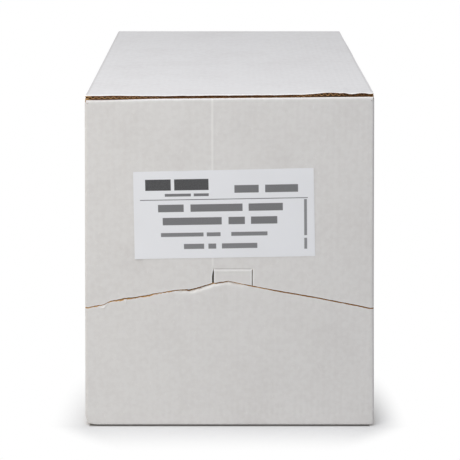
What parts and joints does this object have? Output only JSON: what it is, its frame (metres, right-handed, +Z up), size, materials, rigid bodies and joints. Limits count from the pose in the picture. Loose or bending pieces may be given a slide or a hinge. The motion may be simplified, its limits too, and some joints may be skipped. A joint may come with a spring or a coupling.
{
  "type": "corrugated dispenser carton",
  "caption": "White corrugated dispenser carton whose hood lid opens along a torn chevron line, with a thumb tab in its front panel and a blank paper label.",
  "frame": {"origin": "middle of the base, on the surface the carton stands on", "axes": "+Z up, the front panel with the label and thumb tab faces -Y, +X to the right seen from the front"},
  "size_m": [0.163, 0.2651, 0.194],
  "materials": {
    "white_board": "uncoated white liner outside, brown kraft inside and at cut edges",
    "label_paper": "smooth matte paper"
  },
  "bodies": {
    "carton_body": {"carton_body": "white_board"},
    "lid": {"lid": "white_board", "label": "label_paper"},
    "push_tab": {"push_tab": "white_board"}
  },
  "joints": [
    {"name": "lid_hinge", "type": "hinge", "parent": "carton_body", "child": "lid", "pos_m": [0, 0.1325, 0.194], "axis": [-1, 0, 0], "range_deg": [0, 180]},
    {"name": "tab_hinge", "type": "hinge", "parent": "lid", "child": "push_tab", "pos_m": [0.0019, -0.1309, 0.0952], "axis": [1, 0, 0], "range_deg": [0, 90]}
  ]
}
